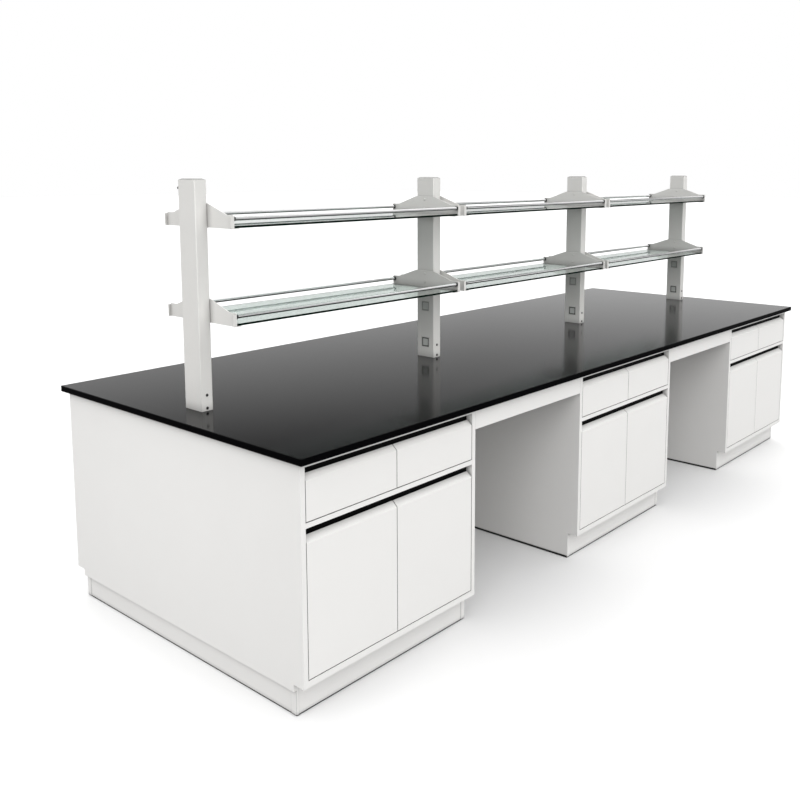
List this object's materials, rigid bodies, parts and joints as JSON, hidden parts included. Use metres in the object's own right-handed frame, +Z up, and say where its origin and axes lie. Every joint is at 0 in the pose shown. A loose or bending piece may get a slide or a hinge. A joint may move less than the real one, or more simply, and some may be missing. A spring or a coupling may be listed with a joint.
{
  "type": "laboratory island bench with reagent shelf",
  "caption": "Double-sided laboratory island bench: white steel pedestals with doors and drawers, black worktop, knee spaces and a two-tier glass reagent shelf on columns.",
  "frame": {"origin": "on the floor, at the middle of the bench in plan", "axes": "+X along the bench from the near end to the far end, +Y across it away from the near long face, +Z up"},
  "size_m": [4.24, 1.5, 1.755],
  "materials": {
    "white_powder_coat": "fine satin white powder coat on folded sheet steel",
    "worktop_resin": "black solid resin worktop with a satin top and eased edges",
    "black_channel": "black coated finger-pull channel",
    "grey_powder_coat": "warm light grey powder coat on steel columns and brackets",
    "shelf_glass": "clear float glass with ground edges that look dark green"
  },
  "bodies": {
    "bench": {"worktop": "worktop_resin", "pedestal_1_carcass": "white_powder_coat", "pedestal_1_front_drawer_pull_channel": "black_channel", "pedestal_1_front_door_pull_channel": "black_channel", "pedestal_1_back_drawer_pull_channel": "black_channel", "pedestal_1_back_door_pull_channel": "black_channel", "pedestal_2_carcass": "white_powder_coat", "pedestal_2_front_drawer_pull_channel": "black_channel", "pedestal_2_front_door_pull_channel": "black_channel", "pedestal_2_back_drawer_pull_channel": "black_channel", "pedestal_2_back_door_pull_channel": "black_channel", "pedestal_3_carcass": "white_powder_coat", "pedestal_3_front_drawer_pull_channel": "black_channel", "pedestal_3_front_door_pull_channel": "black_channel", "pedestal_3_back_drawer_pull_channel": "black_channel", "pedestal_3_back_door_pull_channel": "black_channel", "knee_space_1_apron_front": "white_powder_coat", "knee_space_1_apron_back": "white_powder_coat", "knee_space_2_apron_front": "white_powder_coat", "knee_space_2_apron_back": "white_powder_coat", "column_1": "grey_powder_coat", "column_2": "grey_powder_coat", "column_3": "grey_powder_coat", "column_4": "grey_powder_coat", "bay_1_lower_shelf_frame": "grey_powder_coat", "bay_1_lower_glass_shelf": "shelf_glass", "bay_1_upper_shelf_frame": "grey_powder_coat", "bay_1_upper_glass_shelf": "shelf_glass", "bay_2_lower_shelf_frame": "grey_powder_coat", "bay_2_lower_glass_shelf": "shelf_glass", "bay_2_upper_shelf_frame": "grey_powder_coat", "bay_2_upper_glass_shelf": "shelf_glass", "bay_3_lower_shelf_frame": "grey_powder_coat", "bay_3_lower_glass_shelf": "shelf_glass", "bay_3_upper_shelf_frame": "grey_powder_coat", "bay_3_upper_glass_shelf": "shelf_glass"},
    "pedestal_1_front_drawer_left": {"pedestal_1_front_drawer_left": "white_powder_coat"},
    "pedestal_1_front_door_left": {"pedestal_1_front_door_left": "white_powder_coat"},
    "pedestal_1_front_drawer_right": {"pedestal_1_front_drawer_right": "white_powder_coat"},
    "pedestal_1_front_door_right": {"pedestal_1_front_door_right": "white_powder_coat"},
    "pedestal_1_back_drawer_left": {"pedestal_1_back_drawer_left": "white_powder_coat"},
    "pedestal_1_back_door_left": {"pedestal_1_back_door_left": "white_powder_coat"},
    "pedestal_1_back_drawer_right": {"pedestal_1_back_drawer_right": "white_powder_coat"},
    "pedestal_1_back_door_right": {"pedestal_1_back_door_right": "white_powder_coat"},
    "pedestal_2_front_drawer_left": {"pedestal_2_front_drawer_left": "white_powder_coat"},
    "pedestal_2_front_door_left": {"pedestal_2_front_door_left": "white_powder_coat"},
    "pedestal_2_front_drawer_right": {"pedestal_2_front_drawer_right": "white_powder_coat"},
    "pedestal_2_front_door_right": {"pedestal_2_front_door_right": "white_powder_coat"},
    "pedestal_2_back_drawer_left": {"pedestal_2_back_drawer_left": "white_powder_coat"},
    "pedestal_2_back_door_left": {"pedestal_2_back_door_left": "white_powder_coat"},
    "pedestal_2_back_drawer_right": {"pedestal_2_back_drawer_right": "white_powder_coat"},
    "pedestal_2_back_door_right": {"pedestal_2_back_door_right": "white_powder_coat"},
    "pedestal_3_front_drawer_left": {"pedestal_3_front_drawer_left": "white_powder_coat"},
    "pedestal_3_front_door_left": {"pedestal_3_front_door_left": "white_powder_coat"},
    "pedestal_3_front_drawer_right": {"pedestal_3_front_drawer_right": "white_powder_coat"},
    "pedestal_3_front_door_right": {"pedestal_3_front_door_right": "white_powder_coat"},
    "pedestal_3_back_drawer_left": {"pedestal_3_back_drawer_left": "white_powder_coat"},
    "pedestal_3_back_door_left": {"pedestal_3_back_door_left": "white_powder_coat"},
    "pedestal_3_back_drawer_right": {"pedestal_3_back_drawer_right": "white_powder_coat"},
    "pedestal_3_back_door_right": {"pedestal_3_back_door_right": "white_powder_coat"}
  },
  "joints": [
    {"name": "pedestal_1_front_drawer_left_slide", "type": "slide", "parent": "bench", "child": "pedestal_1_front_drawer_left", "axis": [0, -1, 0], "range_m": [0, 0.4]},
    {"name": "pedestal_1_front_door_left_hinge", "type": "hinge", "parent": "bench", "child": "pedestal_1_front_door_left", "pos_m": [-2.067, -0.715, 0.385], "axis": [0, 0, -1], "range_deg": [0, 110]},
    {"name": "pedestal_1_front_drawer_right_slide", "type": "slide", "parent": "bench", "child": "pedestal_1_front_drawer_right", "axis": [0, -1, 0], "range_m": [0, 0.4]},
    {"name": "pedestal_1_front_door_right_hinge", "type": "hinge", "parent": "bench", "child": "pedestal_1_front_door_right", "pos_m": [-1.243, -0.715, 0.385], "axis": [0, 0, 1], "range_deg": [0, 110]},
    {"name": "pedestal_1_back_drawer_left_slide", "type": "slide", "parent": "bench", "child": "pedestal_1_back_drawer_left", "axis": [0, 1, 0], "range_m": [0, 0.4]},
    {"name": "pedestal_1_back_door_left_hinge", "type": "hinge", "parent": "bench", "child": "pedestal_1_back_door_left", "pos_m": [-1.243, 0.715, 0.385], "axis": [0, 0, -1], "range_deg": [0, 110]},
    {"name": "pedestal_1_back_drawer_right_slide", "type": "slide", "parent": "bench", "child": "pedestal_1_back_drawer_right", "axis": [0, 1, 0], "range_m": [0, 0.4]},
    {"name": "pedestal_1_back_door_right_hinge", "type": "hinge", "parent": "bench", "child": "pedestal_1_back_door_right", "pos_m": [-2.067, 0.715, 0.385], "axis": [0, 0, 1], "range_deg": [0, 110]},
    {"name": "pedestal_2_front_drawer_left_slide", "type": "slide", "parent": "bench", "child": "pedestal_2_front_drawer_left", "axis": [0, -1, 0], "range_m": [0, 0.4]},
    {"name": "pedestal_2_front_door_left_hinge", "type": "hinge", "parent": "bench", "child": "pedestal_2_front_door_left", "pos_m": [-0.412, -0.715, 0.385], "axis": [0, 0, -1], "range_deg": [0, 110]},
    {"name": "pedestal_2_front_drawer_right_slide", "type": "slide", "parent": "bench", "child": "pedestal_2_front_drawer_right", "axis": [0, -1, 0], "range_m": [0, 0.4]},
    {"name": "pedestal_2_front_door_right_hinge", "type": "hinge", "parent": "bench", "child": "pedestal_2_front_door_right", "pos_m": [0.412, -0.715, 0.385], "axis": [0, 0, 1], "range_deg": [0, 110]},
    {"name": "pedestal_2_back_drawer_left_slide", "type": "slide", "parent": "bench", "child": "pedestal_2_back_drawer_left", "axis": [0, 1, 0], "range_m": [0, 0.4]},
    {"name": "pedestal_2_back_door_left_hinge", "type": "hinge", "parent": "bench", "child": "pedestal_2_back_door_left", "pos_m": [0.412, 0.715, 0.385], "axis": [0, 0, -1], "range_deg": [0, 110]},
    {"name": "pedestal_2_back_drawer_right_slide", "type": "slide", "parent": "bench", "child": "pedestal_2_back_drawer_right", "axis": [0, 1, 0], "range_m": [0, 0.4]},
    {"name": "pedestal_2_back_door_right_hinge", "type": "hinge", "parent": "bench", "child": "pedestal_2_back_door_right", "pos_m": [-0.412, 0.715, 0.385], "axis": [0, 0, 1], "range_deg": [0, 110]},
    {"name": "pedestal_3_front_drawer_left_slide", "type": "slide", "parent": "bench", "child": "pedestal_3_front_drawer_left", "axis": [0, -1, 0], "range_m": [0, 0.4]},
    {"name": "pedestal_3_front_door_left_hinge", "type": "hinge", "parent": "bench", "child": "pedestal_3_front_door_left", "pos_m": [1.243, -0.715, 0.385], "axis": [0, 0, -1], "range_deg": [0, 110]},
    {"name": "pedestal_3_front_drawer_right_slide", "type": "slide", "parent": "bench", "child": "pedestal_3_front_drawer_right", "axis": [0, -1, 0], "range_m": [0, 0.4]},
    {"name": "pedestal_3_front_door_right_hinge", "type": "hinge", "parent": "bench", "child": "pedestal_3_front_door_right", "pos_m": [2.067, -0.715, 0.385], "axis": [0, 0, 1], "range_deg": [0, 110]},
    {"name": "pedestal_3_back_drawer_left_slide", "type": "slide", "parent": "bench", "child": "pedestal_3_back_drawer_left", "axis": [0, 1, 0], "range_m": [0, 0.4]},
    {"name": "pedestal_3_back_door_left_hinge", "type": "hinge", "parent": "bench", "child": "pedestal_3_back_door_left", "pos_m": [2.067, 0.715, 0.385], "axis": [0, 0, -1], "range_deg": [0, 110]},
    {"name": "pedestal_3_back_drawer_right_slide", "type": "slide", "parent": "bench", "child": "pedestal_3_back_drawer_right", "axis": [0, 1, 0], "range_m": [0, 0.4]},
    {"name": "pedestal_3_back_door_right_hinge", "type": "hinge", "parent": "bench", "child": "pedestal_3_back_door_right", "pos_m": [1.243, 0.715, 0.385], "axis": [0, 0, 1], "range_deg": [0, 110]}
  ]
}
